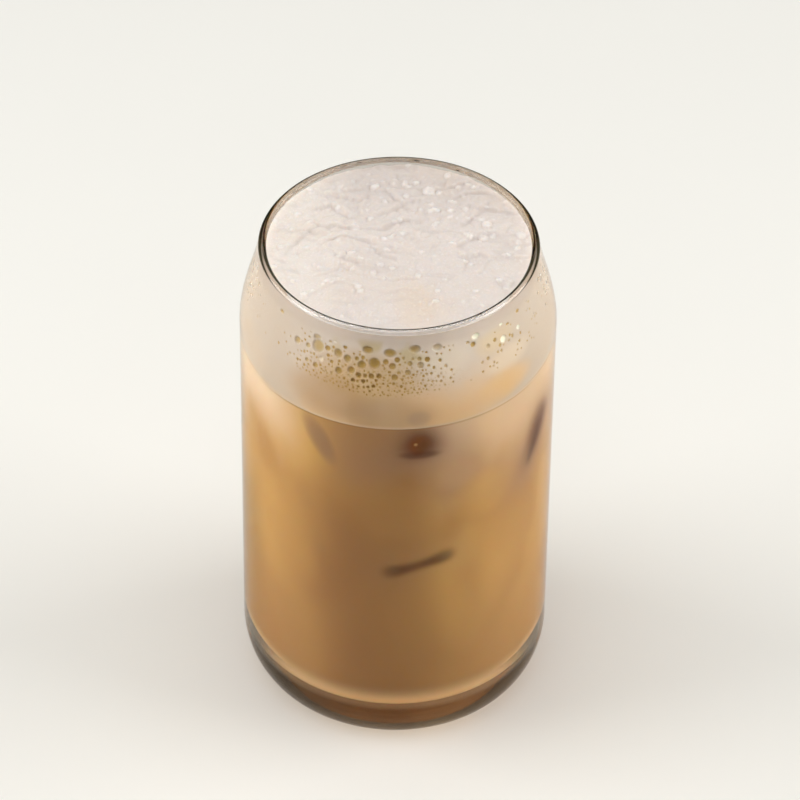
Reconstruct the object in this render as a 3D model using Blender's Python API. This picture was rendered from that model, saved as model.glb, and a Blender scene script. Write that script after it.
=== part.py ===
"""Iced latte in a can-shaped glass.

The glass stands on z = 0 and its axis is the z axis. The front is at -y. All lengths are in metres.
"""

import math
import random

import bmesh
import bpy
from mathutils import Matrix, Vector, noise

# Glass
GLASS_HEIGHT = 0.131
BODY_RADIUS = 0.038
SHOULDER_START = 0.108
SHOULDER_REACH = 0.026
SHOULDER_NARROWING = 0.0049
HEEL_HEIGHT = 0.014
HEEL_WIDTH = 0.009
BODY_WALL = 0.0024
RIM_WALL = 0.0020
BASE_THICKNESS = 0.010
INNER_CORNER = 0.011
RECESS_DEPTH = 0.0012
RECESS_RADIUS = 0.025
RECESS_EDGE = 0.0015

# Drink
GAP = 0.0003
LINE_HEIGHT = 0.1042
LINE_SLOPE = 0.015
FOAM_HEIGHT = 0.1282
FOAM_DOME = 0.0006
SWELL_HEIGHT = 0.0003
SWELL_LENGTH = 0.016
STREAK_HEIGHT = 0.00045
STREAK_LENGTH = 0.014
STREAK_WIDTH = 0.0048
STREAK_BEND = 0.006
RELIEF_SEED = 4.7

# Bubbles against the wall of the glass
BUBBLE_SEED = 11
BUBBLE_COUNT = 30
BUBBLE_TRIES = 4000
BUBBLE_LOW = 0.1165
BUBBLE_HIGH = 0.1255
BUBBLE_SMALL = 0.0005
BUBBLE_LARGE = 0.0017
BUBBLE_LEAST_SHARE = 0.6
BUBBLE_SPACING = 0.0004
BUBBLE_LEFT_PATCH = (-52, 18)
BUBBLE_RIGHT_PATCH = (32, 60)
BUBBLE_RIGHT_SHARE = 0.25

# Ice: half side, place on the wall (azimuth from the front, sideways shift, height) and lean (pitch, roll, turn)
ICE_BLOCKS = {
    "ice_1": (0.0112, (0, -0.0009, 0.1010), (-14, -22, -17)),
    "ice_2": (0.0105, (63, 0, 0.0843), (0, 25, 45)),
    "ice_3": (0.0105, (9, 0, 0.0606), (0, 72, 45)),
}
ICE_SQUARENESS = 5
ICE_PUSH_LIMIT = 0.04
ICE_PUSH_HALVINGS = 40

# Mesh
SEGMENTS = 64
HEEL_STEPS = 8
SHOULDER_STEPS = 7
LIP_STEPS = 6
CORNER_STEPS = 6
FOAM_SIDE_STEPS = 7
FOAM_TOP_RINGS = 12
FOAM_RING_POWER = 0.8
BUBBLE_SEGMENTS = 8
BUBBLE_RINGS = 5
ICE_CELLS = 6
WELD_DISTANCE = 0.00003
SMOOTH_ANGLE = math.radians(30)


def clear_scene():
    """Empties the scene."""
    for thing in list(bpy.data.objects):
        bpy.data.objects.remove(thing, do_unlink=True)


def material(name, colour, roughness, transmission=0.0):
    """A plain Principled material."""
    made = bpy.data.materials.new(name)
    made.use_nodes = True
    shader = made.node_tree.nodes["Principled BSDF"]
    shader.inputs["Base Color"].default_value = (*colour, 1.0)
    shader.inputs["Roughness"].default_value = roughness
    shader.inputs["Metallic"].default_value = 0.0
    shader.inputs["Transmission Weight"].default_value = transmission
    return made


def smoothstep(share):
    """0 to 1 with level ends."""
    share = min(max(share, 0.0), 1.0)
    return share * share * (3.0 - 2.0 * share)


def outer_radius(height):
    """Radius of the outside of the glass."""
    if height < HEEL_HEIGHT:
        below = (HEEL_HEIGHT - height) / HEEL_HEIGHT
        return BODY_RADIUS - HEEL_WIDTH * (1.0 - math.sqrt(1.0 - below * below))
    return BODY_RADIUS - SHOULDER_NARROWING * smoothstep((height - SHOULDER_START) / SHOULDER_REACH)


def wall_thickness(height):
    """The wall thins over the shoulder to the rim."""
    share = smoothstep((height - SHOULDER_START) / (GLASS_HEIGHT - SHOULDER_START))
    return BODY_WALL + (RIM_WALL - BODY_WALL) * share


def inner_radius(height, inset=0.0):
    """Radius of the inside of the glass, or of a body that stands the inset away from it."""
    corner_height = BASE_THICKNESS + INNER_CORNER
    if height < corner_height:
        rise = corner_height - height
        reach = math.sqrt(max((INNER_CORNER - inset) ** 2 - rise * rise, 0.0))
        return BODY_RADIUS - BODY_WALL - INNER_CORNER + reach
    return outer_radius(height) - wall_thickness(height) - inset


def ring_angles():
    """The angle of each point of a ring."""
    return [2.0 * math.pi * step / SEGMENTS for step in range(SEGMENTS)]


def closed_object(name, rings, used_material):
    """A body skinned over rings of points; a ring of one point closes an end."""
    mesh = bmesh.new()
    made = [[mesh.verts.new(point) for point in ring] for ring in rings]
    for first, second in zip(made, made[1:]):
        for step in range(SEGMENTS):
            after = step + 1
            corners = (
                first[step % len(first)],
                first[after % len(first)],
                second[after % len(second)],
                second[step % len(second)],
            )
            mesh.faces.new(list(dict.fromkeys(corners)))
    return finished(name, mesh, used_material)


def finished(name, mesh, used_material=None):
    """The mesh as an object of the scene, its faces turned outward and smooth."""
    bmesh.ops.recalc_face_normals(mesh, faces=mesh.faces)
    data = bpy.data.meshes.new(name)
    mesh.to_mesh(data)
    mesh.free()
    made = bpy.data.objects.new(name, data)
    bpy.context.scene.collection.objects.link(made)
    smooth(data)
    if used_material:
        data.materials.append(used_material)
    return made


def smooth(data):
    """Smooth shading that stops at the sharp edges."""
    data.shade_smooth()
    data.set_sharp_from_angle(angle=SMOOTH_ANGLE)


def turned_ring(radius, height):
    """A level ring about the axis, or one point on it."""
    if radius == 0.0:
        return [Vector((0.0, 0.0, height))]
    return [Vector((radius * math.cos(a), radius * math.sin(a), height)) for a in ring_angles()]


def glass_profile():
    """Radius and height from the middle of the underside, up the outside, over the rim and down the inside."""
    profile = [(0.0, RECESS_DEPTH), (RECESS_RADIUS - RECESS_EDGE, RECESS_DEPTH), (RECESS_RADIUS, 0.0)]
    for step in range(HEEL_STEPS):
        turn = 0.5 * math.pi * step / HEEL_STEPS
        height = HEEL_HEIGHT * (1.0 - math.cos(turn))
        profile.append((outer_radius(height), height))
    lip = 0.5 * RIM_WALL
    body_heights = [HEEL_HEIGHT, SHOULDER_START]
    for step in range(1, SHOULDER_STEPS + 1):
        share = step / SHOULDER_STEPS
        body_heights.append(SHOULDER_START + share * (GLASS_HEIGHT - lip - SHOULDER_START))
    profile += [(outer_radius(height), height) for height in body_heights]
    lip_radius = outer_radius(GLASS_HEIGHT - lip) - lip
    for step in range(1, LIP_STEPS):
        turn = math.pi * step / LIP_STEPS
        profile.append((lip_radius + lip * math.cos(turn), GLASS_HEIGHT - lip + lip * math.sin(turn)))
    profile += [(inner_radius(height), height) for height in reversed(body_heights[1:])]
    for step in range(CORNER_STEPS + 1):
        turn = 0.5 * math.pi * step / CORNER_STEPS
        height = BASE_THICKNESS + INNER_CORNER * (1.0 - math.sin(turn))
        profile.append((inner_radius(height), height))
    profile.append((0.0, BASE_THICKNESS))
    return profile


def line_height(x):
    """Height of the line between latte and foam."""
    return LINE_HEIGHT + LINE_SLOPE * x


def foam_relief(x, y):
    """Height of the foam's top over the rim of the foam: a low dome with swells and curved streaks."""
    away = math.hypot(x, y) / BODY_RADIUS
    dome = FOAM_DOME * max(1.0 - away * away, 0.0)
    swell = SWELL_HEIGHT * noise.noise(Vector((x / SWELL_LENGTH, y / SWELL_LENGTH, RELIEF_SEED)))
    bend = STREAK_BEND * noise.noise(Vector((x / STREAK_LENGTH, y / STREAK_LENGTH, -RELIEF_SEED)))
    across = noise.noise(Vector((x / STREAK_LENGTH, (y + bend) / STREAK_WIDTH, 2.0 * RELIEF_SEED)))
    streak = STREAK_HEIGHT * (0.5 - 2.0 * abs(across))  # crests where the noise crosses zero
    return dome + swell + streak


def latte_rings():
    """The coffee fills the glass from its bottom up to the line."""
    low = BASE_THICKNESS + GAP
    heights = []
    for step in range(CORNER_STEPS + 1):
        turn = 0.5 * math.pi * step / CORNER_STEPS
        heights.append(low + (INNER_CORNER - GAP) * (1.0 - math.cos(turn)))
    rings = [turned_ring(0.0, low)]
    rings += [turned_ring(inner_radius(height, GAP), height) for height in heights]
    edge = []
    for angle in ring_angles():
        radius = BODY_RADIUS - BODY_WALL - GAP
        x = radius * math.cos(angle)
        edge.append(Vector((x, radius * math.sin(angle), line_height(x) - 0.5 * GAP)))
    rings.append(edge)
    rings.append([Vector((0.0, 0.0, LINE_HEIGHT - 0.5 * GAP))])
    return rings


def foam_rings():
    """The foam lies on the line and ends close under the rim of the glass."""
    side = [[] for _ in range(FOAM_SIDE_STEPS + 1)]
    for angle in ring_angles():
        across = Vector((math.cos(angle), math.sin(angle)))
        low = line_height(BODY_RADIUS * across.x) + 0.5 * GAP
        edge = inner_radius(FOAM_HEIGHT, GAP)
        high = FOAM_HEIGHT + foam_relief(edge * across.x, edge * across.y)
        for step, ring in enumerate(side):
            height = low + (high - low) * step / FOAM_SIDE_STEPS
            radius = inner_radius(height, GAP)
            ring.append(Vector((radius * across.x, radius * across.y, height)))
    rings = [[Vector((0.0, 0.0, LINE_HEIGHT + 0.5 * GAP))]] + side
    for step in range(FOAM_TOP_RINGS - 1, 0, -1):
        radius = inner_radius(FOAM_HEIGHT, GAP) * (step / FOAM_TOP_RINGS) ** FOAM_RING_POWER
        ring = turned_ring(radius, FOAM_HEIGHT)
        for point in ring:
            point.z += foam_relief(point.x, point.y)
        rings.append(ring)
    rings.append([Vector((0.0, 0.0, FOAM_HEIGHT + foam_relief(0.0, 0.0)))])
    return rings


def wall_point(azimuth, height, inset):
    """A point of the inside of the glass, the azimuth in degrees from the front toward +x."""
    radius = inner_radius(height, inset)
    turn = math.radians(azimuth)
    return Vector((radius * math.sin(turn), -radius * math.cos(turn), height))


def wall_bubbles():
    """Centre and radius of each bubble against the wall: large ones high up and small ones low down."""
    draw = random.Random(BUBBLE_SEED)
    bubbles = []
    for _ in range(BUBBLE_TRIES):
        if len(bubbles) == BUBBLE_COUNT:
            break
        patch = BUBBLE_RIGHT_PATCH if draw.random() < BUBBLE_RIGHT_SHARE else BUBBLE_LEFT_PATCH
        azimuth = draw.uniform(*patch)
        rise = draw.random()
        height = BUBBLE_LOW + rise * (BUBBLE_HIGH - BUBBLE_LOW)
        radius = BUBBLE_SMALL + (BUBBLE_LARGE - BUBBLE_SMALL) * rise * draw.uniform(BUBBLE_LEAST_SHARE, 1.0)
        centre = wall_point(azimuth, height, GAP)
        if all((centre - other).length > radius + size + BUBBLE_SPACING for other, size in bubbles):
            bubbles.append((centre, radius))
    return bubbles


def bubble_cutter():
    """All the bubbles as one mesh of separate balls."""
    mesh = bmesh.new()
    for centre, radius in wall_bubbles():
        bmesh.ops.create_uvsphere(
            mesh,
            u_segments=BUBBLE_SEGMENTS,
            v_segments=BUBBLE_RINGS,
            radius=radius,
            matrix=Matrix.Translation(centre),
        )
    return finished("bubbles_cutter", mesh)


def block_points(half_side):
    """Grid points of a half-melted block, face by face: rounded edges and slightly bulging faces."""
    faces = []
    for axis in range(3):
        for side in (-1.0, 1.0):
            grid = []
            for row in range(ICE_CELLS + 1):
                line = []
                for column in range(ICE_CELLS + 1):
                    across = math.tan(0.25 * math.pi * (2.0 * column / ICE_CELLS - 1.0))
                    along = math.tan(0.25 * math.pi * (2.0 * row / ICE_CELLS - 1.0))
                    ray = [0.0, 0.0, 0.0]
                    ray[axis] = side
                    ray[(axis + 1) % 3] = across
                    ray[(axis + 2) % 3] = along
                    size = sum(abs(part) ** ICE_SQUARENESS for part in ray) ** (1.0 / ICE_SQUARENESS)
                    line.append(Vector(ray) * (half_side / size))
                grid.append(line)
            faces.append(grid)
    return faces


def block_place(half_side, where, lean):
    """Matrix of a block that leans as seen from outside, pushed outward until it stands one gap off the glass."""
    azimuth, shift, height = where
    pitch, roll, turn = (math.radians(angle) for angle in lean)
    around = Matrix.Rotation(math.radians(azimuth), 4, "Z")
    tilt = Matrix.Rotation(pitch, 4, "X") @ Matrix.Rotation(roll, 4, "Y")
    spin = around @ tilt @ Matrix.Rotation(turn, 4, "Z")
    points = [spin @ point for face in block_points(half_side) for line in face for point in line]
    near, far = 0.0, ICE_PUSH_LIMIT
    for _ in range(ICE_PUSH_HALVINGS):
        push = 0.5 * (near + far)
        centre = around @ Vector((shift, -push, height))
        moved = [centre + point for point in points]
        clear = all(point.xy.length < inner_radius(point.z, GAP) for point in moved)
        near, far = (push, far) if clear else (near, push)
    return Matrix.Translation(around @ Vector((shift, -near, height))) @ spin


def block(name, half_side, place, used_material=None):
    """One block of ice at its place."""
    mesh = bmesh.new()
    for grid in block_points(half_side):
        made = [[mesh.verts.new(point) for point in line] for line in grid]
        for row in range(ICE_CELLS):
            for column in range(ICE_CELLS):
                near, far = made[row], made[row + 1]
                mesh.faces.new((near[column], near[column + 1], far[column + 1], far[column]))
    bmesh.ops.remove_doubles(mesh, verts=mesh.verts, dist=WELD_DISTANCE)
    made = finished(name, mesh, used_material)
    made.matrix_world = place
    return made


def cut(target, cutters):
    """Takes the cutters' shapes out of the target and shades the cut body anew."""
    for cutter in cutters:
        modifier = target.modifiers.new(cutter.name, "BOOLEAN")
        modifier.operation = "DIFFERENCE"
        modifier.solver = "EXACT"
        modifier.object = cutter
    graph = bpy.context.evaluated_depsgraph_get()
    whole = target.data
    target.data = bpy.data.meshes.new_from_object(target.evaluated_get(graph))
    target.modifiers.clear()
    bpy.data.meshes.remove(whole)
    target.data.name = target.name
    smooth(target.data)


def build():
    clear_scene()
    clear = material("glass_clear", (0.90, 0.93, 0.90), 0.02, 1.0)
    coffee = material("coffee_milk", (0.52, 0.31, 0.14), 0.30)
    froth = material("milk_foam", (0.80, 0.72, 0.64), 0.60)
    frozen = material("coffee_ice", (0.42, 0.26, 0.15), 0.12, 0.6)

    closed_object("glass", [turned_ring(*point) for point in glass_profile()], clear)
    latte = closed_object("latte", latte_rings(), coffee)
    foam = closed_object("foam", foam_rings(), froth)

    spaces = []
    for name, (half_side, where, lean) in ICE_BLOCKS.items():
        place = block_place(half_side, where, lean)
        block(name, half_side, place, frozen)
        spaces.append(block(name + "_space", half_side + GAP, place))
    bubbles = bubble_cutter()
    cut(latte, spaces)
    cut(foam, [spaces[0], bubbles])
    for cutter in [*spaces, bubbles]:
        bpy.data.objects.remove(cutter, do_unlink=True)


build()
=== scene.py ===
"""Iced latte in a can-shaped glass, with its floor, lights and camera.

The glass stands on z = 0 with its axis on the z axis, and its front is at -y. Lengths are in metres.
"""

import math
import random

import bmesh
import bpy
import numpy as np
from bpy.props import FloatProperty, FloatVectorProperty, IntProperty, PointerProperty
from mathutils import Matrix, Vector, noise


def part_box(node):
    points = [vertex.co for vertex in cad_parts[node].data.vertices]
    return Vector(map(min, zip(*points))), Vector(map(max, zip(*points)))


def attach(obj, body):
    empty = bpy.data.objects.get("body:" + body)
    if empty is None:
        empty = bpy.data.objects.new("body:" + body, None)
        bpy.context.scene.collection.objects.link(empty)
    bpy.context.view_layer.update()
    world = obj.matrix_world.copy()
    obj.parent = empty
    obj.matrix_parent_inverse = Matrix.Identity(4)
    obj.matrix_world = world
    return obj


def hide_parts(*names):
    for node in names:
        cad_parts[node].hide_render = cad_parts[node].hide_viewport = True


bl_info = {
    "name": "Iced latte",
    "version": (1, 0, 0),
    "blender": (4, 5, 0),
    "location": "View3D > Sidebar > Iced latte",
    "description": "Makes a glass of iced latte with its foam and ice, and a stage for it",
    "category": "Object",
}

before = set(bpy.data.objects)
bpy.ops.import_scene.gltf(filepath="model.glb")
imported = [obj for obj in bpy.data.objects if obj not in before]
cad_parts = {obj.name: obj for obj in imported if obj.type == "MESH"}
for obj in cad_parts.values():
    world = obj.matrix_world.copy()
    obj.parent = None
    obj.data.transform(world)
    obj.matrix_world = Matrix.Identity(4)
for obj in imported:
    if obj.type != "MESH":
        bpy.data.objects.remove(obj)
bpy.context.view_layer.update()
GLASS_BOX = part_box("glass")

# Glass
GLASS_HEIGHT = GLASS_BOX[1][2]
BODY_RADIUS = GLASS_BOX[1][0]
SHOULDER_START = 0.108
SHOULDER_REACH = 0.026
SHOULDER_NARROWING = 0.0049
HEEL_HEIGHT = 0.014
HEEL_WIDTH = 0.009
BODY_WALL = 0.0024
RIM_WALL = 0.002
BASE_THICKNESS = 0.01
INNER_CORNER = 0.011
RECESS_DEPTH = 0.0012
RECESS_RADIUS = 0.025
RECESS_EDGE = 0.0015

# Drink: the line between coffee and foam and its rise to the right, the foam's height at the wall, and the
# number of points round the coffee
LINE_HEIGHT = 0.1042
LINE_SLOPE = 0.015
FOAM_HEIGHT = 0.1282
DRINK_COLUMNS = 384

# Relief of the foam's top: dome, swells, streaks, wrinkles, puffs (width and rise) and the climb up the wall
RELIEF_SEED = 4.7
DOME_HEIGHT = 0.0006
SWELL_HEIGHT = 0.0003
SWELL_LENGTH = 0.016
STREAK_DEPTH = 0.00028
STREAK_LENGTH = 0.011
STREAK_WIDTH = 0.0034
STREAK_BEND = 0.004
WRINKLE_HEIGHT = 0.0006
WRINKLE_SPACING = 0.0085
PUFFS = [(0.0046, 0.00068), (0.0019, 0.0004), (0.001, 0.00012)]
CLIMB_HEIGHT = 0.001
CLIMB_RAGGEDNESS = 0.0004
CLIMB_WIDTH = 0.0012

# Ice: half side, place at the wall (azimuth from the front, shift, height) and lean (pitch, roll, turn)
ICE_BLOCKS = {
    "ice_1": (0.0112, (0, -0.0009, 0.101), (-14, -22, -17)),
    "ice_2": (0.0105, (63, 0, 0.0843), (0, 25, 45)),
    "ice_3": (0.0105, (9, 0, 0.0606), (0, 72, 45)),
}
ICE_SQUARENESS = 5
ICE_WELD = 0.00002

# How far each block reaches into the wall, and the mark that it leaves on the drink's surface: spread, middle
# across and up, length, and strength of the soft shade round it
ICE_MARKS = {
    "ice_1": (0.00009, 0.0016, (0.0046, 0.0995), 0.006, 0.85),
    "ice_2": (0.00005, 0.0016, (0.0352, 0.0868), 0.0078, 0.7),
    "ice_3": (0.00005, 0.0005, (0.006, 0.0596), 0.009, 0.15),
}
ICE_SHADE_SPREAD = 0.0036
ICE_PUSH_LIMIT = 0.04
ICE_PUSH_HALVINGS = 40
ICE_PUSH_CELLS = 12

# Folds in the foam's top, in millimetres across and toward the back
FOLDS = [
    [(-22.6, 14.0), (-16.4, 15.3), (-13.9, 12.6), (-8.6, 8.9)],
    [(-20.8, 20.2), (-13.1, 19.2), (-9.3, 18.1), (-5.9, 21.7)],
    [(-4.0, 23.6), (-1.1, 18.3), (3.2, 13.0)],
    [(-15.6, -2.5), (-12.7, -4.7), (-8.4, -6.8)],
    [(-7.6, 2.2), (-3.8, -3.0), (0.0, -4.4)],
    [(13.3, -2.7), (16.1, -3.7), (19.4, -2.5), (21.7, -4.7)],
    [(15.7, 17.1), (19.5, 14.9), (21.9, 18.8)],
    [(-27.4, -3.5), (-22.8, 4.1), (-18.7, 9.5)],
    [(-14.5, 29.6), (-1.2, 31.0), (4.8, 30.0)],
    [(22.2, -11.4), (25.8, -13.5), (27.5, -10.5)],
]
FURROW_DEPTH = 0.0003
FURROW_WIDTH = 0.0006
FOLD_LIP_HEIGHT = 0.0005
FOLD_LIP_PLACE = 0.0014
FOLD_LIP_WIDTH = 0.0012
FOLD_REACH = 0.004

# Bubbles on the foam's top: across, toward the back and radius, in millimetres
TOP_BUBBLES = [
    (-6.0, 23.6, 1.1),
    (7.0, 21.9, 1.5),
    (9.4, 21.4, 0.9),
    (8.7, 14.6, 1.1),
    (12.2, 14.2, 0.9),
    (2.2, 23.8, 0.8),
    (-10.5, 7.4, 1.0),
    (-11.3, -2.4, 1.1),
    (-6.0, -9.0, 0.8),
    (-13.6, -7.7, 0.6),
    (-16.8, -12.2, 0.9),
    (20.9, 9.2, 1.2),
    (16.6, 4.2, 0.8),
    (19.9, 4.2, 1.1),
    (29.0, 5.2, 1.2),
    (27.9, 1.0, 0.9),
    (-20.5, 8.7, 0.7),
    (-0.7, 0.0, 0.5),
    (-27.9, 0.2, 0.9),
    (23.6, 22.0, 1.0),
    (-21.6, 22.0, 0.8),
]
TOP_BUBBLE_RISE = 0.4
TOP_GROOVE_DEPTH = 0.1

# Bubbles against the wall: azimuth from the front, height and radius in millimetres, and how dark each one
# looks beside the foam, below zero for a bright one with a painted highlight
WALL_BUBBLES = [
    (-43, 121.2, 0.96, 0.55),
    (-34, 124.3, 1.2, 0.4),
    (-33, 122.4, 1.69, 0.5),
    (-24, 122.3, 1.08, 0.55),
    (-20, 121.6, 0.96, 0.6),
    (-12, 124.8, 1.33, 0.65),
    (-3, 124.5, 1.55, 0.65),
    (-9, 121.6, 1.4, 0.8),
    (-14, 120.8, 1.08, 0.7),
    (7, 125.5, 1.45, 0.5),
    (16, 125.3, 1.2, 0.35),
    (-2, 121.2, 0.84, 0.6),
    (-23, 118.1, 0.9, 0.7),
    (-18, 119.0, 0.9, 0.7),
    (-15, 118.1, 0.72, 0.85),
    (-10, 118.3, 0.72, 0.8),
    (-7, 118.5, 0.66, 0.8),
    (-1, 118.4, 0.8, 0.6),
    (-33, 117.4, 0.67, 0.6),
    (-37, 117.8, 0.55, 0.5),
    (-31, 119.5, 0.6, -0.3),
    (4, 119.6, 0.7, 0.5),
    (9, 121.3, 0.84, 0.4),
    (-17, 116.6, 0.53, 1.0),
    (-13, 116.8, 0.53, 1.0),
    (-9, 115.9, 0.48, 1.0),
    (-11, 115.5, 0.38, 1.0),
    (33, 125.4, 1.1, -0.9),
    (46, 125.2, 0.5, -0.8),
    (55, 121.5, 0.6, -0.6),
    (46, 121.3, 0.96, -1.0),
    (38, 121.6, 0.6, 0.3),
    (-26, 124.8, 0.48, -0.5),
]

# Small bubbles strewn between those of the two tables: the seed of each draw, how far out they lie on top,
# the radius that the wall is laid out on, the azimuth behind which they are larger, and how far the mesh of
# the foam is drawn to the front for them
TOP_SEED = 5
TOP_REACH = 0.0325
WALL_SEED = 12
WALL_RADIUS = 0.0345
WALL_BACK = 80.0
FRONT_PULL = 0.35

# Hollow of a wall bubble: its depth as a share of its radius, and the deepest
PIT_SHARE = 0.4
PIT_LIMIT = 0.0004

# Camera: focal length, image width and column of the glass's axis in pixels, and sensor width in millimetres
FOCAL_PIXELS = 4648.1
IMAGE_PIXELS = 800.0
AXIS_COLUMN = 397.06
SENSOR_WIDTH = 36.0

# Light panels: place, side and power. They face a point on the axis at the height of the aim.
PANELS = {
    "left_panel": ((-1.1, 0.0, 0.55), 0.9, 9.2),
    "right_panel": ((1.1, 0.0, 0.55), 0.9, 9.7),
    "top_panel": ((-0.1, -0.1, 1.3), 1.2, 9.2),
}
PANEL_COLOUR = (1.0, 0.985, 0.965)
PANEL_AIM = 0.07

# The dim room round it all, and how far the floor reaches to each side
ROOM_COLOUR = (1.0, 0.975, 0.94)
ROOM_STRENGTH = 0.15
FLOOR_REACH = 4.0


def colour_setting(name, description, default):
    """A colour that a user can change."""
    return FloatVectorProperty(
        name=name, description=description, default=default, size=3, min=0.0, max=1.0, subtype="COLOR"
    )


def length_setting(name, description, default):
    """A length in metres that a user can change."""
    return FloatProperty(
        name=name, description=description, default=default, min=0.0, unit="LENGTH", precision=5
    )


def angle_setting(name, description, degrees):
    """An angle that a user can change."""
    return FloatProperty(
        name=name, description=description, default=math.radians(degrees), subtype="ANGLE"
    )


def number_setting(name, description, default, least=0):
    """A whole number that a user can change."""
    return IntProperty(name=name, description=description, default=default, min=least)


class GlassSettings(bpy.types.PropertyGroup):
    """Sizes and colours of the glass."""

    segments: number_setting("Segments", "Faces round the glass", 192, 32)
    tint: colour_setting("Tint", "Colour of the clear glass", (0.955, 0.965, 0.945))
    shade: colour_setting("Shade", "Colour of the light that falls through the glass", (0.94, 0.95, 0.93))
    # Painted shade: the lip seen edge-on is nearly black
    edge: colour_setting("Edge", "Colour of the lip where it is seen edge-on", (0.004, 0.004, 0.0016))
    # Painted shade: the thick base is dark brown
    base: colour_setting("Base", "Colour of the thick base", (0.34, 0.2, 0.095))
    # Painted shade: the lip seen from in front is greyed
    lip: colour_setting("Lip", "Colour of the lip where it is seen from in front", (0.74, 0.7, 0.68))
    wave: length_setting("Wave", "Depth of the soft unevenness of pressed glass", 0.00004)


class DrinkSettings(bpy.types.PropertyGroup):
    """Sizes and colours of the milk coffee."""

    reach: length_setting("Reach", "How far drink and foam reach into the wall of the glass", 0.0001)
    dark: colour_setting("Dark", "Colour where the coffee is strong", (0.385, 0.185, 0.06))
    light: colour_setting("Light", "Colour where the milk is well mixed in", (0.7, 0.41, 0.118))
    cloud: colour_setting("Cloud", "Colour of the milky cloud under the foam", (0.86, 0.655, 0.46))
    foot: colour_setting("Foot", "Colour of the rounded lower edge, where light gathers", (0.95, 0.67, 0.38))
    glow: colour_setting("Glow", "Light that the thick base gathers in the lower edge", (0.14, 0.08, 0.03))
    thin: colour_setting("Thin layer", "Colour of a thin layer of coffee over the ice", (0.4, 0.235, 0.15))
    contact: colour_setting("Contact", "Colour where the ice all but touches the glass", (0.12, 0.026, 0.0))


class FoamSettings(bpy.types.PropertyGroup):
    """Sizes and colours of the foam."""

    top: colour_setting("Top", "Colour of the dry froth on top", (0.81, 0.745, 0.705))
    side: colour_setting("Side", "Colour of the wet foam against the upper wall", (0.71, 0.615, 0.54))
    low: colour_setting("Low", "Colour of the wet foam near the coffee", (0.8, 0.54, 0.295))
    bubble: colour_setting("Bubble", "Colour inside the bubbles against the wall", (0.52, 0.33, 0.085))
    pit: colour_setting("Pit", "Colour of the smallest and deepest bubbles", (0.25, 0.115, 0.03))
    cells: number_setting("Cells", "Cells across the top", 200, 20)
    bubbles: number_setting("Wall bubbles", "Bubbles against the wall of the glass", 520)
    froth: number_setting("Top bubbles", "Small bubbles strewn over the top", 420)


class IceSettings(bpy.types.PropertyGroup):
    """Sizes and colours of the ice."""

    cells: number_setting("Cells", "Cells along each side of a block", 24, 4)
    clear: colour_setting("Clear", "Colour of clear ice that coffee shines through", (0.2, 0.06, 0.006))
    frost: colour_setting("Frost", "Colour of the cloudy veins in the ice", (0.42, 0.15, 0.02))


class StageSettings(bpy.types.PropertyGroup):
    """Camera, floor and lights."""

    floor: colour_setting("Floor", "Colour of the floor", (0.9, 0.9, 0.861))
    elevation: angle_setting("Elevation", "How far the camera looks down", 40.9)
    roll: angle_setting("Roll", "Turn of the camera about its own axis", 0.74)
    distance: length_setting("Distance", "From the camera to the point it looks at", 1.13064)
    aim: length_setting("Aim", "Height of the point on the axis that the camera looks at", 0.08158)


def smoothstep(share):
    """0 to 1 with level ends."""
    share = np.clip(share, 0.0, 1.0)
    return share * share * (3.0 - 2.0 * share)


def outer_radius(height):
    """Radius of the outside of the glass."""
    below = np.clip((HEEL_HEIGHT - height) / HEEL_HEIGHT, 0.0, 1.0)
    heel = HEEL_WIDTH * (1.0 - np.sqrt(1.0 - below * below))
    shoulder = SHOULDER_NARROWING * smoothstep((height - SHOULDER_START) / SHOULDER_REACH)
    return BODY_RADIUS - heel - shoulder


def wall_thickness(height):
    """The wall thins over the shoulder to the rim."""
    share = smoothstep((height - SHOULDER_START) / (GLASS_HEIGHT - SHOULDER_START))
    return BODY_WALL + (RIM_WALL - BODY_WALL) * share


def inner_radius(height, inset=0.0):
    """Radius of the inside of the glass, or of a body that stands the inset away from it."""
    rise = BASE_THICKNESS + INNER_CORNER - height
    corner = np.sqrt(np.maximum((INNER_CORNER - inset) ** 2 - np.maximum(rise, 0.0) ** 2, 0.0))
    low = BODY_RADIUS - BODY_WALL - INNER_CORNER + corner
    return np.where(rise > 0.0, low, outer_radius(height) - wall_thickness(height) - inset)


def line_height(x):
    """Height of the line between coffee and foam, for numbers and shader terms alike."""
    return LINE_HEIGHT + LINE_SLOPE * x


def noise_at(x, y, seed):
    """Smooth noise at each point of two arrays. Each seed gives another pattern."""
    points = zip(np.ravel(x).tolist(), np.ravel(y).tolist())
    values = [noise.noise(Vector((across, along, seed))) for across, along in points]
    return np.array(values).reshape(np.shape(x))


def whole_turn(columns):
    """Evenly spaced angles round the axis."""
    return np.arange(columns) * (2.0 * math.pi / columns)


def ring_points(turns, radius, height):
    """Points at the given angles. Radius and height are one number or one for each angle."""
    return np.stack(np.broadcast_arrays(radius * np.cos(turns), radius * np.sin(turns), height), axis=1)


def band_faces(loops):
    """Faces between neighbouring loops of point numbers. A loop of one point closes an end."""
    faces = []
    for first, second in zip(loops, loops[1:]):
        for step in range(max(len(first), len(second))):
            after = step + 1
            corners = (
                first[step % len(first)],
                first[after % len(first)],
                second[after % len(second)],
                second[step % len(second)],
            )
            faces.append(tuple(dict.fromkeys(corners)))
    return faces


def turned_body(rings, columns):
    """Points and faces of a body made of rings round the axis. A ring of no radius is one point."""
    points = []
    loops = []
    for radius, height in rings:
        turns = whole_turn(columns) if radius else np.zeros(1)
        loops.append(range(len(points), len(points) + len(turns)))
        points += ring_points(turns, radius, height).tolist()
    return points, band_faces(loops)


def place_object(name, data):
    """A new object of the scene."""
    made = bpy.data.objects.new(name, data)
    bpy.context.scene.collection.objects.link(made)
    return made


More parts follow.
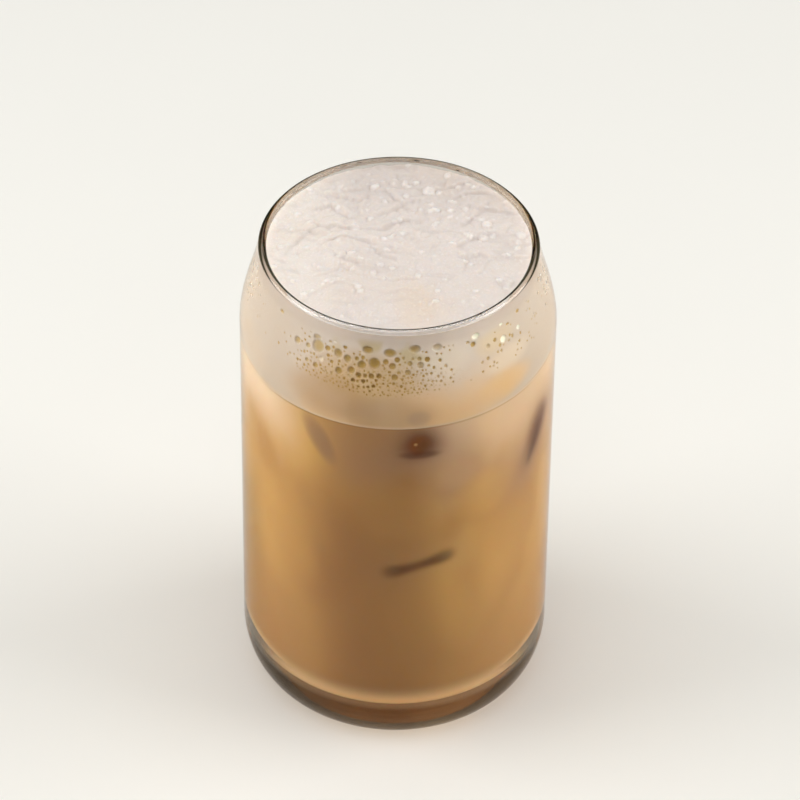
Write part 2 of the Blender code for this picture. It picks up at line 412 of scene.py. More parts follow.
def add_piece(name, points, faces, node, sharp=35):
    """One shown piece that stands for a solid of the frame."""
    data = bpy.data.meshes.new(name)
    data.from_pydata(np.asarray(points).tolist(), [], faces)
    data.validate()
    data.shade_smooth()
    data.set_sharp_from_angle(angle=math.radians(sharp))
    piece = place_object(name, data)
    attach(piece, "root")
    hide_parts(node)
    return piece


def give_attribute(piece, name, values):
    """Stores one number for each point of a piece."""
    made = piece.data.attributes.new(name, "FLOAT", "POINT")
    made.data.foreach_set("value", np.asarray(values, dtype=np.float32))


def piece_points(piece):
    """The points of a piece as an array."""
    points = np.empty(3 * len(piece.data.vertices), dtype=np.float32)
    piece.data.vertices.foreach_get("co", points)
    return points.reshape(-1, 3).astype(float)


def turn_outward(piece, join=0.0):
    """Turns all faces of a closed piece outward, after joining points that lie closer than a distance."""
    mesh = bmesh.new()
    mesh.from_mesh(piece.data)
    if join:
        bmesh.ops.remove_doubles(mesh, verts=mesh.verts, dist=join)
    bmesh.ops.recalc_face_normals(mesh, faces=mesh.faces)
    mesh.to_mesh(piece.data)
    mesh.free()


def dress(piece, material):
    """Gives a piece its one material."""
    piece.data.materials.clear()
    piece.data.materials.append(material)


class Term:
    """An output of a shader node. Arithmetic on it adds the nodes that work it out."""

    def __init__(self, graph, socket):
        self.graph = graph
        self.socket = socket

    def worked(self, operation, first, second):
        """The result of one operation on two numbers, or on two vectors."""
        kind = "ShaderNodeMath" if self.socket.type == "VALUE" else "ShaderNodeVectorMath"
        return self.graph.node(kind, {"operation": operation}, {0: first, 1: second})

    def __add__(self, other):
        return self.worked("ADD", self, other)

    def __radd__(self, other):
        return self.worked("ADD", other, self)

    def __sub__(self, other):
        return self.worked("SUBTRACT", self, other)

    def __rsub__(self, other):
        return self.worked("SUBTRACT", other, self)

    def __mul__(self, other):
        return self.worked("MULTIPLY", self, other)

    def __rmul__(self, other):
        return self.worked("MULTIPLY", other, self)


class Graph:
    """The nodes of one material. Its x, y and z are the place on the piece in metres."""

    def __init__(self, name):
        self.material = bpy.data.materials.new(name)
        self.material.use_nodes = True
        self.tree = self.material.node_tree
        self.tree.nodes.clear()
        self.place = self.node("ShaderNodeTexCoord", output="Object")
        split = self.node("ShaderNodeSeparateXYZ", inputs={0: self.place}).socket.node
        self.x, self.y, self.z = (Term(self, socket) for socket in split.outputs)

    def node(self, kind, settings=None, inputs=None, output=0):
        """Adds a node: first its settings, then the values and links of its sockets."""
        made = self.tree.nodes.new(kind)
        for name, value in (settings or {}).items():
            setattr(made, name, value)
        for name, value in (inputs or {}).items():
            if isinstance(value, Term):
                self.tree.links.new(value.socket, made.inputs[name])
            else:
                made.inputs[name].default_value = value
        return Term(self, made.outputs[output])

    def attribute(self, name):
        """A number that is stored on the points of the piece."""
        return self.node("ShaderNodeAttribute", {"attribute_name": name}, output="Fac")

    def noise(self, scale, detail=2.0, stretch=(1.0, 1.0, 1.0), warp=0.0):
        """Cloudy noise from 0 to 1. The scale counts its cells per metre."""
        inputs = {"Vector": self.place * stretch, "Scale": scale, "Detail": detail, "Distortion": warp}
        return self.node("ShaderNodeTexNoise", inputs=inputs)

    def between(self, value, low, high, first=0.0, last=1.0):
        """Runs smoothly from first to last as the value goes from low to high."""
        inputs = {0: value, 1: low, 2: high, 3: first, 4: last}
        return self.node("ShaderNodeMapRange", {"interpolation_type": "SMOOTHSTEP"}, inputs)

    def spot(self, middle, size, tilt=0.0):
        """A soft oval on the front of the wall, 1 in its middle. Half sizes in metres, tilt in degrees."""
        x = self.x - middle[0]
        z = self.z - middle[1]
        cosine = math.cos(math.radians(tilt))
        sine = math.sin(math.radians(tilt))
        across = (x * cosine + z * sine) * (1.0 / size[0])
        up = (z * cosine - x * sine) * (1.0 / size[1])
        return self.between(across * across + up * up, 1.0, 0.0) * self.between(self.y, 0.0, -0.006)

    def mix(self, share, first, second):
        """A mix of two colours."""
        inputs = {0: share}
        for place, shade in ((6, first), (7, second)):
            inputs[place] = shade if isinstance(shade, Term) else (*shade, 1.0)
        return self.node("ShaderNodeMix", {"data_type": "RGBA"}, inputs, output=2)

    def fade(self, shade, colour, value, low, high, most=1.0):
        """A shade that gives way to another colour as a value goes from low to high."""
        return self.mix(self.between(value, low, high, 0.0, most), shade, colour)

    def patch(self, shade, middle, size, strength, colour, tilt=0.0):
        """A shade with a soft oval of another colour on it."""
        return self.mix(self.spot(middle, size, tilt) * strength, shade, colour)

    def bump(self, height, distance, strength=1.0):
        """A normal bent by a height."""
        inputs = {"Height": height, "Distance": distance, "Strength": strength}
        return self.node("ShaderNodeBump", inputs=inputs)

    def principled(self, inputs):
        """The main shader."""
        return self.node("ShaderNodeBsdfPrincipled", inputs=inputs)

    def blend(self, share, first, second):
        """A mix of two shaders."""
        return self.node("ShaderNodeMixShader", inputs={0: share, 1: first, 2: second})

    def finish(self, shader):
        """Links the last shader to the output and gives back the material."""
        output = self.tree.nodes.new("ShaderNodeOutputMaterial")
        self.tree.links.new(shader.socket, output.inputs["Surface"])
        return self.material


def glass_profile():
    """Radius and height from the middle underneath, up the outside, over the rim and down the inside."""
    profile = [(0.0, RECESS_DEPTH)]
    for share in np.linspace(0.0, 1.0, 7):
        radius = RECESS_RADIUS - RECESS_EDGE * (1.0 - share)
        profile.append((radius, RECESS_DEPTH * (1.0 - float(smoothstep(share)))))
    for turn in np.linspace(0.0, 0.5 * math.pi, 25)[:-1]:
        height = HEEL_HEIGHT * (1.0 - math.cos(turn))
        profile.append((float(outer_radius(height)), height))
    lip = 0.5 * RIM_WALL
    shoulder = np.linspace(SHOULDER_START, GLASS_HEIGHT - lip, 25)
    body = [*np.linspace(HEEL_HEIGHT, SHOULDER_START, 9)[:-1], *shoulder]
    profile += [(float(outer_radius(height)), height) for height in body]
    lip_radius = float(outer_radius(GLASS_HEIGHT - lip)) - lip
    for turn in np.linspace(0.0, math.pi, 19)[1:-1]:
        height = GLASS_HEIGHT - lip + lip * math.sin(turn)
        profile.append((lip_radius + lip * math.cos(turn), height))
    profile += [(float(inner_radius(height)), height) for height in reversed(body[2:])]
    for turn in np.linspace(0.0, 0.5 * math.pi, 17):
        height = BASE_THICKNESS + INNER_CORNER * (1.0 - math.sin(turn))
        profile.append((float(inner_radius(height)), height))
    profile.append((0.0, BASE_THICKNESS))
    return profile


def lip_edge(graph, down, turned):
    """Painted shade where the lip is seen edge-on: inside, most at the front, and along the top of its
    outside.
    """
    middle = float(outer_radius(GLASS_HEIGHT)) - 0.5 * RIM_WALL
    outside = graph.between(graph.x * graph.x + graph.y * graph.y, middle**2, (middle + 0.0003) ** 2)
    front = graph.between(graph.y, 0.014, -0.006, 0.05, 1.0)
    inner = graph.between(turned, 0.25, 0.38) * (1.0 - outside) * front
    crown = graph.between(down, 0.0009, 0.0005) * graph.between(turned, 0.3, 0.39) * outside
    return graph.between(down, 0.0018, 0.0009) * inner + crown


def wall_tint_and_shade(graph, settings, down, turned):
    """Colour of the wall: clear, with painted shade grey where it is grazed, darker at the left, and pale at
    the lip, greyer at the back.
    """
    cloud = graph.between(graph.noise(30.0, 1.0), 0.3, 0.7)
    tint = graph.mix(cloud, settings.tint, [part * 0.985 for part in settings.tint])
    # Painted shade where the wall is grazed, darker at the left
    grazed = graph.fade((0.22, 0.18, 0.14), (0.4, 0.34, 0.34), graph.x, -0.02, 0.02)
    tint = graph.fade(tint, grazed, turned, 0.76, 0.96)
    # Painted shade at the lip, greyer at the back
    lip = graph.fade(settings.lip, (0.6, 0.57, 0.54), graph.y, 0.0, 0.014)
    return graph.fade(tint, lip, down, 0.005, 0.0012)


def painted_base_shade(graph, settings):
    """Painted shade in the thick base: darker at the left, with a painted reflection as a paler smear right
    of the middle.
    """
    tint = graph.patch(settings.base, (0.012, 0.003), (0.012, 0.005), 0.6, (0.6, 0.4, 0.2))
    return graph.fade(tint, (0.17, 0.11, 0.06), graph.x, -0.006, -0.026, 0.6)


def glass_material(settings):
    """Clear glass with soft waves, with painted shade in its thick base and where the lip is seen edge-on."""
    graph = Graph("clear_glass")
    down = GLASS_HEIGHT - graph.z
    turned = graph.node("ShaderNodeLayerWeight", output="Facing")
    base = graph.between(graph.z, 0.015, 0.0128)
    edge = lip_edge(graph, down, turned)
    tint = graph.mix(base, wall_tint_and_shade(graph, settings, down, turned), painted_base_shade(graph, settings))
    # Painted shade: nearly black where the lip is seen edge-on
    tint = graph.mix(edge, tint, settings.edge)
    gloss = graph.between(down, 0.0035, 0.0018) * graph.between(graph.y, -0.01, -0.018)
    level = graph.between(graph.z, 0.124, 0.112)
    clear = {
        "Base Color": tint,
        "Roughness": 0.0,
        "IOR": 1.5,
        "Specular Tint": (0.22, 0.22, 0.22, 1.0),
        "Transmission Weight": 1.0,
        "Coat Weight": gloss * 0.7,
        "Coat Roughness": 0.05,
        "Coat IOR": 1.9,
        "Normal": graph.bump(graph.noise(70.0, 0.0, (1.0, 1.0, 0.35)) * level, settings.wave),
    }
    dull = {**clear, "IOR": 1.15, "Specular Tint": (0.0, 0.0, 0.0, 1.0)}
    dulled = base * 0.85 + edge * 0.7 + graph.between(turned, 0.42, 0.74) * 0.9
    body = graph.blend(dulled, graph.principled(clear), graph.principled(dull))
    through = graph.node("ShaderNodeBsdfTransparent", inputs={"Color": (*settings.shade, 1.0)})
    shadow = graph.node("ShaderNodeLightPath", output="Is Shadow Ray")
    return graph.finish(graph.blend(shadow, body, through))


def make_glass(settings):
    """The turned glass."""
    points, faces = turned_body(glass_profile(), settings.segments)
    piece = add_piece("drinking_glass", points, faces, "glass")
    dress(piece, glass_material(settings))


def block_points(half_side, cells):
    """Grid points of a half-melted block, face by face: rounded edges and slightly bulging faces."""
    across = np.tan(0.25 * math.pi * np.linspace(-1.0, 1.0, cells + 1))
    second, first = np.meshgrid(across, across)
    faces = []
    for axis in range(3):
        for side in (-1.0, 1.0):
            ray = np.empty((cells + 1, cells + 1, 3))
            ray[..., axis] = side
            ray[..., (axis + 1) % 3] = second
            ray[..., (axis + 2) % 3] = first
            size = (np.abs(ray) ** ICE_SQUARENESS).sum(axis=-1) ** (1.0 / ICE_SQUARENESS)
            faces.append(ray * (half_side / size)[..., None])
    return np.stack(faces)


def block_place(name, inset):
    """Matrix of a block that leans as seen from outside, pushed outward up to the inset from the glass."""
    half_side, (azimuth, shift, height), lean = ICE_BLOCKS[name]
    pitch, roll, turn = (math.radians(angle) for angle in lean)
    around = Matrix.Rotation(math.radians(azimuth), 4, "Z")
    tilt = Matrix.Rotation(pitch, 4, "X") @ Matrix.Rotation(roll, 4, "Y")
    spin = around @ tilt @ Matrix.Rotation(turn, 4, "Z")
    points = block_points(half_side, ICE_PUSH_CELLS).reshape(-1, 3) @ np.array(spin.to_3x3()).T
    near, far = 0.0, ICE_PUSH_LIMIT
    for _ in range(ICE_PUSH_HALVINGS):
        push = 0.5 * (near + far)
        moved = points + np.array(around @ Vector((shift, -push, height)))
        clear = np.all(np.hypot(moved[:, 0], moved[:, 1]) < inner_radius(moved[:, 2], inset))
        near, far = (push, far) if clear else (near, push)
    return Matrix.Translation(around @ Vector((shift, -near, height))) @ spin


def ice_material(settings):
    """Half-melted ice, dark amber from the coffee around it, with cloudy veins."""
    graph = Graph("coffee_ice")
    veins = graph.between(graph.noise(260.0, 4.0, warp=0.6), 0.48, 0.68)
    surface = {
        "Base Color": graph.mix(veins, settings.clear, settings.frost),
        "Roughness": graph.between(veins, 0.0, 1.0, 0.08, 0.25),
        "IOR": 1.31,
        "Specular IOR Level": 0.1,
        "Transmission Weight": 0.1,
        "Normal": graph.bump(graph.noise(300.0, 2.0), 0.0002, 0.4),
    }
    return graph.finish(graph.principled(surface))


def make_ice(settings):
    """Three blocks of ice, each with a corner or an edge at the wall."""
    material = ice_material(settings)
    rows = settings.cells + 1
    for name, (half_side, _, _) in ICE_BLOCKS.items():
        place = block_place(name, -ICE_MARKS[name][0])
        points = block_points(half_side, settings.cells).reshape(-1, 3)
        points = points @ np.array(place.to_3x3()).T + np.array(place.translation)
        faces = []
        for side in range(6):
            for row in range(settings.cells):
                for column in range(settings.cells):
                    first = side * rows * rows + row * rows + column
                    faces.append((first, first + 1, first + rows + 1, first + rows))
        piece = add_piece(name + "_block", points, faces, name)
        turn_outward(piece, ICE_WELD)
        piece.data.shade_smooth()
        dress(piece, material)


def block_distance(points, name, inset):
    """About how far each point lies from a block."""
    half_side = ICE_BLOCKS[name][0]
    local = np.array(block_place(name, inset).inverted())
    moved = points @ local[:3, :3].T + local[:3, 3]
    size = (np.abs(moved) ** ICE_SQUARENESS).sum(axis=-1) ** (1.0 / ICE_SQUARENESS)
    return np.maximum(size - half_side, 0.0)


def ice_marks(points):
    """How strongly the contact and the shade of the nearest block show at each point."""
    contact = np.zeros(len(points))
    shade = np.zeros(len(points))
    for name, (reach, spread, middle, length, veil) in ICE_MARKS.items():
        away = block_distance(points, name, -reach)
        off = np.hypot(points[:, 0] - middle[0], points[:, 2] - middle[1]) / length
        contact = np.maximum(contact, np.exp(-((away / spread) ** 2) - off * off))
        shade = np.maximum(shade, veil * np.exp(-((away / ICE_SHADE_SPREAD) ** 1.5)))
    return contact, shade


def cut_out(target, names):
    """Takes the space of the named blocks of ice out of a piece."""
    for name in names:
        modifier = target.modifiers.new(name, "BOOLEAN")
        modifier.operation = "DIFFERENCE"
        modifier.solver = "EXACT"
        modifier.object = bpy.data.objects[name + "_block"]
    graph = bpy.context.evaluated_depsgraph_get()
    whole = target.data
    target.data = bpy.data.meshes.new_from_object(target.evaluated_get(graph))
    target.modifiers.clear()
    bpy.data.meshes.remove(whole)
    target.data.name = target.name


def coffee_swirls(graph, settings, swirl):
    """Strong and milky coffee in swirls, with golden patches at the sides, and painted shade in the middle of
    the front and at the edges.
    """
    x = graph.x
    # Painted shade: the swirls give way to the dark colour in the middle of the front
    strong = graph.between((x + 0.004) * (x + 0.004), 0.00032, 0.0, 0.0, 0.7)
    strong = strong * graph.between(graph.y, 0.0, -0.02)
    shade = graph.mix(swirl * (1.0 - strong), settings.dark, settings.light)
    # Painted shade toward the left edge
    shade = graph.fade(shade, (0.56, 0.3, 0.082), x, -0.016, -0.033, 0.6)
    shade = graph.patch(shade, (-0.0265, 0.059), (0.01, 0.022), 0.5, (0.68, 0.385, 0.105))
    shade = graph.patch(shade, (0.024, 0.06), (0.008, 0.02), 0.5, (0.68, 0.385, 0.105))
    # Painted shade at the far left, strongest low down
    far_left = graph.between(x, -0.029, -0.0358, 0.0, 0.75) * graph.between(graph.z, 0.078, 0.058, 0.3, 1.0)
    shade = graph.mix(far_left, shade, (0.33, 0.185, 0.04))
    # Painted shade toward the right edge
    return graph.fade(shade, (0.55, 0.3, 0.09), x, 0.014, 0.03, 0.5)


def milky_cloud(graph, settings, shade, below):
    """The coffee with ragged clouds of milk that hang from the foam at both sides."""
    ragged = below + (graph.noise(42.0, 2.0, (1.0, 1.0, 0.7), 0.5) - 0.5) * 0.022
    left = graph.between(graph.x, -0.018, -0.031, 0.0, 0.9)
    right = graph.between(graph.x, 0.002, 0.014)
    for end, full, side in ((0.017, 0.001, right * 0.45), (0.024, 0.004, left), (0.034, 0.006, right * 0.35)):
        shade = graph.mix(graph.between(ragged, end, full) * side, shade, settings.cloud)
    return shade


def ice_shadows(graph, settings, shade):
    """The coffee with the dark marks of the ice that stands close behind the wall."""
    close = graph.attribute("ice_close")
    shade = graph.mix(graph.attribute("ice_behind") * 0.8, shade, settings.thin)
    # The hidden left edge of the first block and the edge of the second
    shade = graph.patch(shade, (-0.0176, 0.097), (0.0032, 0.009), 0.6, (0.26, 0.15, 0.1), 25.0)
    shade = graph.patch(shade, (0.0317, 0.0826), (0.001, 0.0056), 0.7, (0.085, 0.035, 0.022), -16.0)
    # The corner of the first block, with painted light in its contact and a painted glint on it
    corner = graph.spot((0.0054, 0.096), (0.006, 0.0016)) + graph.spot((0.005, 0.0988), (0.0024, 0.0034))
    shade = graph.mix(corner * 0.6, shade, (0.1, 0.032, 0.006))
    shade = graph.mix(close, shade, settings.contact)
    lit = graph.between(close, 0.55, 1.0, 0.0, 0.5) * graph.between(graph.z, 0.092, 0.095)
    shade = graph.mix(lit, shade, (0.3, 0.08, 0.0))
    return graph.patch(shade, (0.0044, 0.0993), (0.0006, 0.0006), 0.5, (0.8, 0.46, 0.16))


def drink_material(settings):
    """Milk coffee: swirls, a milky cloud under the foam, and dark places where ice stands close behind."""
    graph = Graph("milk_coffee")
    below = line_height(graph.x) - graph.z
    swirl = graph.between(graph.noise(30.0, 2.0, (1.0, 1.0, 0.65), 0.3), 0.3, 0.68)
    swirl = swirl * graph.between(graph.z, 0.008, 0.085, 0.55, 1.0)
    # Painted light: the rounded lower edge is paler and glows, where light gathers in the base
    foot = graph.between(graph.z, 0.022, 0.013)
    foot = foot * foot
    shade = milky_cloud(graph, settings, coffee_swirls(graph, settings, swirl), below)
    shade = graph.fade(shade, settings.dark, graph.z, 0.06, 0.015, 0.5)
    shade = graph.patch(shade, (0.02, 0.079), (0.009, 0.009), 0.5, (0.72, 0.42, 0.12))
    shade = graph.patch(shade, (0.014, 0.088), (0.006, 0.006), 0.35, (0.66, 0.42, 0.22))
    shade = graph.mix(foot, shade, settings.foot)
    shade = ice_shadows(graph, settings, shade)
    shade = graph.fade(shade, settings.dark, below, 0.0007, 0.0002, 0.35)
    surface = {
        "Base Color": shade,
        "Roughness": graph.between(swirl, 0.0, 1.0, 0.22, 0.32),
        "Subsurface Weight": 0.5,
        "Subsurface Radius": (1.0, 0.5, 0.25),
        "Subsurface Scale": 0.003,
        "IOR": 1.34,
        "Specular IOR Level": 0.1,
        # Painted light: glow of the rounded lower edge
        "Emission Color": graph.mix(foot, (0.0, 0.0, 0.0), settings.glow),
        "Emission Strength": 1.0,
    }
    return graph.finish(graph.principled(surface))


def make_drink(settings):
    """The milk coffee from the bottom of the glass up to the line under the foam."""
    corner = BASE_THICKNESS + INNER_CORNER
    rings = [(0.0, BASE_THICKNESS - settings.reach)]
    for turn in np.linspace(0.0, 0.5 * math.pi, 25)[1:]:
        height = corner - (INNER_CORNER + settings.reach) * math.cos(turn)
        rings.append((float(inner_radius(height, -settings.reach)), height))
    wall = BODY_RADIUS - BODY_WALL + settings.reach
    line = line_height(wall * np.cos(whole_turn(DRINK_COLUMNS)))
    rings += [(wall, corner + share * (line - corner)) for share in np.linspace(0.0, 1.0, 141)[1:]]
    rings.append((0.0, LINE_HEIGHT))
    points, faces = turned_body(rings, DRINK_COLUMNS)
    piece = add_piece("milk_coffee", points, faces, "latte")
    turn_outward(piece)
    cut_out(piece, ICE_BLOCKS)
    contact, shade = ice_marks(piece_points(piece))
    give_attribute(piece, "ice_close", contact)
    give_attribute(piece, "ice_behind", shade)
    dress(piece, drink_material(settings))


def disc_grid(cells):
    """A square grid bent into a unit disc, closer spaced at the front, and its outer points in order."""
    steps = np.linspace(-1.0, 1.0, cells + 1)
    across, along = np.meshgrid(steps, steps)
    wide = np.abs(across) > np.abs(along)
    large = np.where(wide, across, along)
    small = np.where(wide, along, across)
    turn = 0.25 * math.pi * small / np.where(large == 0.0, 1.0, large)
    x = large * np.where(wide, np.cos(turn), np.sin(turn))
    y = large * np.where(wide, np.sin(turn), np.cos(turn))
    radius = np.hypot(x, y)
    angle = np.arctan2(y, x)
    angle = angle - FRONT_PULL * np.cos(angle) * smoothstep(radius)
    index = np.arange((cells + 1) ** 2).reshape(cells + 1, cells + 1)
    outer = np.concatenate([index[0, :-1], index[:-1, -1], index[-1, :0:-1], index[:0:-1, 0]]).tolist()
    return radius.ravel(), angle.ravel(), index, outer


def rounded_line(corners):
    """A smooth line through the corners, in metres."""
    points = np.array([corners[0], *corners, corners[-1]]) * 0.001
    line = []
    for step in range(1, len(points) - 2):
        before, start, end, after = points[step - 1 : step + 3]
        for share in np.linspace(0.0, 1.0, 8, endpoint=False):
            pull = 0.5 * (end - before) * share + (before - 2.5 * start + 2.0 * end - 0.5 * after) * share**2
            line.append(start + pull + 0.5 * (after - before + 3.0 * (start - end)) * share**3)
    line.append(points[-2])
    return line


def fold_height(x, y, corners):
    """A furrow along a line with a raised lip on its far side, and how much of the furrow each point is."""
    line = rounded_line(corners)
    total = len(line) - 1
    nearest = np.full(np.shape(x), 1.0)
    side = np.zeros(np.shape(x))
    place = np.zeros(np.shape(x))
    for step, (start, end) in enumerate(zip(line, line[1:])):
        run = end - start
        share = ((x - start[0]) * run[0] + (y - start[1]) * run[1]) / run.dot(run)
        share = np.clip(share, 0.0, 1.0)
        gap_x = x - start[0] - share * run[0]
        gap_y = y - start[1] - share * run[1]
        away = np.hypot(gap_x, gap_y)
        closer = away < nearest
        nearest = np.where(closer, away, nearest)
        side = np.where(closer, np.sign(run[0] * gap_y - run[1] * gap_x) * away, side)
        place = np.where(closer, (step + share) / total, place)
    taper = smoothstep(4.0 * place) * smoothstep(4.0 * (1.0 - place))
    furrow = taper * np.exp(-((nearest / FURROW_WIDTH) ** 2))
    off = (side - FOLD_LIP_PLACE) / FOLD_LIP_WIDTH
    lip = taper * np.exp(-(off**2) - (nearest / FOLD_REACH) ** 2)
    return FOLD_LIP_HEIGHT * lip - FURROW_DEPTH * furrow, 0.8 * furrow


def top_bubbles(count):
    """Centre and radius of each bubble on the top: those in the table and small ones strewn between."""
    draw = random.Random(TOP_SEED)
    bubbles = [(0.001 * x, 0.001 * y, 0.001 * size) for x, y, size in TOP_BUBBLES]
    while len(bubbles) < count + len(TOP_BUBBLES):
        away = TOP_REACH * math.sqrt(draw.random())
        turn = draw.uniform(-math.pi, math.pi)
        size = 0.0003 + 0.0006 * draw.random() ** 2.5
        bubbles.append((away * math.cos(turn), away * math.sin(turn), size))
    return bubbles


def bubble_relief(x, y, count):
    """Height of the bubbles on the top, with a groove round each, and how much of a skin each point is."""
    height = np.zeros(np.shape(x))
    skin = np.zeros(np.shape(x))
    for centre_x, centre_y, size in top_bubbles(count):
        gap = np.hypot(x - centre_x, y - centre_y) / size
        cap = np.sqrt(np.maximum(1.0 - gap * gap, 0.0))
        groove = np.exp(-(((gap - 1.15) / 0.2) ** 2))
        height += size * (TOP_BUBBLE_RISE * cap - TOP_GROOVE_DEPTH * groove)
        skin = np.maximum(skin, min(size / 0.0009, 1.0) * smoothstep(cap * 1.3))
    return height, skin


def streak_height(x, y):
    """Narrow troughs drawn out across the top, a little askew."""
    bend = STREAK_BEND * noise_at(x / 0.012, y / 0.012, -RELIEF_SEED)
    streak = noise_at(x / STREAK_LENGTH, (y + 0.35 * x + bend) / STREAK_WIDTH, 2.0 * RELIEF_SEED)
    return STREAK_DEPTH * (0.5 - 2.0 * np.sqrt(streak * streak + 0.006))


def wrinkle_height(x, y, strength):
    """Wrinkles that rise steeply and fall slowly toward the back, and how much of a furrow each point is."""
    phase = y / WRINKLE_SPACING + 1.9 * noise_at(x / 0.014, y / 0.014, 6.0 * RELIEF_SEED)
    phase += 0.15 * noise_at(x / 0.004, y / 0.004, 7.0 * RELIEF_SEED)
    place = phase - np.floor(phase)
    shown = smoothstep(0.4 + 1.8 * noise_at(x / 0.01, y / 0.008, 9.0 * RELIEF_SEED)) * strength
    furrow = np.exp(-((np.minimum(place, 1.0 - place) / 0.07) ** 2))
    return WRINKLE_HEIGHT * shown * smoothstep(place / 0.16) * (1.0 - place), 0.8 * shown * furrow


def top_relief(x, y, count):
    """Height of the foam's top over its edge, and how much of a bubble's skin and of a fold each point is."""
    away = np.hypot(x, y)
    back = 0.55 + 0.75 * smoothstep((y + 0.016) / 0.026)
    height = DOME_HEIGHT * np.maximum(1.0 - (away / BODY_RADIUS) ** 2, 0.0)
    height += SWELL_HEIGHT * noise_at(x / SWELL_LENGTH, y / SWELL_LENGTH, RELIEF_SEED)
    height += streak_height(x, y)
    for width, rise in PUFFS:
        height += rise * back * np.abs(noise_at(x / width, y / width, RELIEF_SEED / width))
    wrinkles, fold = wrinkle_height(x, y, back)
    height += wrinkles
    for corners in FOLDS:
        rise, furrow = fold_height(x, y, corners)
        height += rise
        fold = np.maximum(fold, furrow)
    bubbles, skin = bubble_relief(x, y, count)
    height += bubbles
    rim = np.maximum(float(inner_radius(FOAM_HEIGHT)) - away, 0.0)
    behind = smoothstep((y + 0.01) / 0.02)
    height *= 1.0 - (1.0 - 0.35 * behind) * np.exp(-rim / 0.0018)
    ragged = CLIMB_RAGGEDNESS * behind * noise_at(x / 0.006, y / 0.006, 5.0 * RELIEF_SEED)
    height += (CLIMB_HEIGHT + ragged) * np.exp(-rim / CLIMB_WIDTH)
    return height, skin, fold


def bubble_crowding(azimuth):
    """How densely the small bubbles lie at the wall: most at the front, a few at the right and behind."""
    front = math.exp(-(((azimuth + 12.0) / 27.0) ** 4))
    right = 0.1 * math.exp(-(((azimuth - 50.0) / 20.0) ** 4))
    return max(front, right, 0.12 if abs(azimuth) > WALL_BACK else 0.02)


def wall_bubbles(count):
    """Place round the wall, height, radius and darkness of each bubble: the table's and small ones strewn."""
    draw = random.Random(WALL_SEED)
    kept = np.array(WALL_BUBBLES) * (math.radians(1.0) * WALL_RADIUS, 0.001, 0.001, 1.0)
    for _ in range(60 * count):
        if len(kept) == count:
            break
        azimuth = draw.uniform(-180.0, 180.0)
        if draw.random() > bubble_crowding(azimuth):
            continue
        rise = draw.random() ** 1.3
        height = 0.113 + 0.0003 * abs(azimuth + 10.0) ** 0.5 + 0.0105 * rise
        size = 0.00023 + 0.00072 * rise * draw.uniform(0.1, 1.0) ** 2
        if abs(azimuth) > WALL_BACK:
            size *= 1.6
        deep = (1.0 - rise) * math.exp(-(((azimuth + 11.0) / 12.0) ** 2))
        dark = draw.uniform(0.4, 0.75) + 0.3 * deep
        across = math.radians(azimuth) * WALL_RADIUS
        gap = np.hypot(kept[:, 0] - across, kept[:, 1] - height) - kept[:, 2] - size
        if np.all(gap > 0.00008 + 0.1 * size):
            kept = np.vstack([kept, (across, height, size, dark)])
    return kept


def side_colour(graph, settings, cloud, above):
    """Wet foam at the wall: tan near the coffee, brown, olive, pale and golden patches, painted shade at the
    sides.
    """
    height = above + (cloud - 0.5) * 0.014 - graph.x * 0.1
    side = graph.fade(settings.low, settings.side, height, 0.001, 0.0175)
    # Painted shade toward the left and right sides
    side = graph.fade(side, (0.6, 0.5, 0.41), graph.x * graph.x, 0.00015, 0.0008, 0.9)
    brown = graph.spot((-0.0078, 0.1085), (0.005, 0.0085)) * graph.between(cloud, 0.3, 0.6, 0.6, 1.0)
    side = graph.mix(brown * 0.3, side, (0.5, 0.27, 0.09))
    side = graph.patch(side, (-0.0065, 0.1175), (0.0165, 0.0085), 0.65, (0.6, 0.385, 0.15))
    side = graph.patch(side, (-0.002, 0.108), (0.0135, 0.0065), 0.55, (0.46, 0.3, 0.17))
    side = graph.patch(side, (-0.0155, 0.111), (0.011, 0.008), 0.6, (0.5, 0.3, 0.14))
    flecks = graph.between(graph.noise(170.0, 1.0), 0.46, 0.66)
    olive = graph.spot((-0.002, 0.1245), (0.024, 0.0038)) * flecks
    side = graph.mix(olive * 0.6, side, (0.56, 0.43, 0.18))
    # Painted shade of the first block of ice behind the foam
    side = graph.patch(side, (0.005, 0.1072), (0.0035, 0.003), 0.35, (0.38, 0.25, 0.2))
    side = graph.patch(side, (0.011, 0.1215), (0.007, 0.006), 0.4, (0.86, 0.76, 0.62))
    side = graph.patch(side, (0.025, 0.1162), (0.006, 0.004), 0.5, (0.84, 0.7, 0.53))
    side = graph.patch(side, (0.0218, 0.1222), (0.0055, 0.0038), 0.35, (0.8, 0.6, 0.3))
    golden = graph.spot((0.0242, 0.11), (0.0072, 0.0052)) * graph.between(cloud, 0.3, 0.6, 0.35, 1.0)
    return graph.mix(golden * 0.7, side, (0.8, 0.5, 0.2))


def top_colour(graph, settings):
    """Dry froth: duller toward the back as painted shade, paler at the left as painted light, warmer near the
    front.
    """
    # Painted shade toward the back
    froth = graph.fade(settings.top, (0.62, 0.56, 0.53), graph.y, 0.002, 0.032, 0.65)
    # Painted light at the left
    froth = graph.fade(froth, (0.92, 0.86, 0.8), graph.x, -0.008, -0.024, 0.7)
    across = (graph.x - 0.004) * 160.0
    along = (graph.y + 0.022) * 85.0
    return graph.fade(froth, (0.84, 0.7, 0.55), across * across + along * along, 1.0, 0.0, 0.4)


def bubble_colour(graph, settings, shade):
    """The foam with its wall bubbles: brown to dark ones, a painted highlight on bright ones, and a dark line
    round each.
    """
    pit = graph.attribute("pit")
    shade = graph.fade(shade, settings.bubble, pit, 0.0, 0.75)
    shade = graph.fade(shade, settings.pit, pit, 0.6, 1.0, 0.8)
    # Painted highlight on the bright bubbles
    shade = graph.fade(shade, (1.0, 0.94, 0.78), pit, 0.0, -0.8)
    return graph.mix(graph.attribute("ring") * 0.4, shade, settings.pit)


